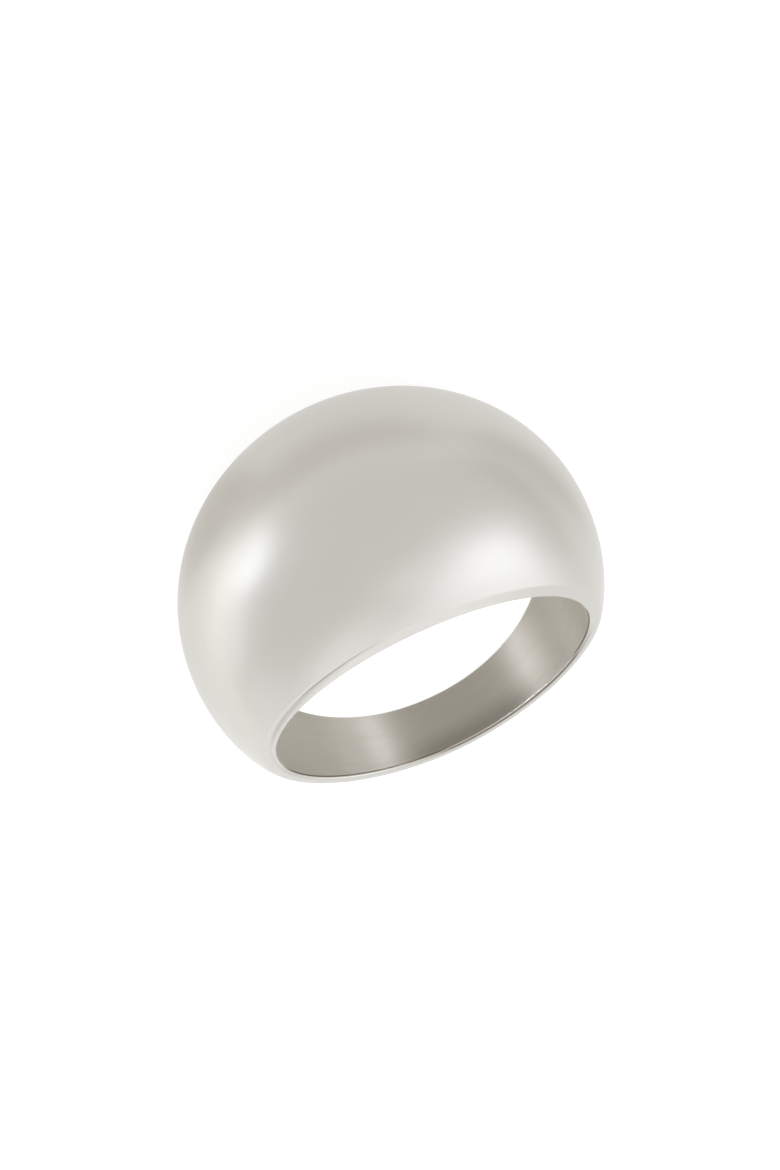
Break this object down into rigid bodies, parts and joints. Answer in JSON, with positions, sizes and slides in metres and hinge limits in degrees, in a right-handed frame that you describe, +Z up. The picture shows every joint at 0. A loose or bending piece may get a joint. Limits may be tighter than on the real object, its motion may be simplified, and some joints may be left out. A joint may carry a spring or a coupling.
{
  "type": "dome ring",
  "caption": "Solid polished-metal finger ring: a narrow band that swells evenly into a broad, high, rounded dome, with a flat side face and a plain round finger hole.",
  "frame": {"origin": "on the floor, below the centre of the ring's box, as the ring lies on its side", "axes": "-Y from the band towards the dome's crest, +Z up; the finger hole's axis leans 15.9 degrees from +Z towards +Y"},
  "size_m": [0.0218, 0.0256, 0.0134],
  "materials": {
    "metal": "softly polished on the dome and band, finely brushed round the finger hole"
  },
  "bodies": {
    "root": {"ring": "metal"}
  },
  "joints": []
}
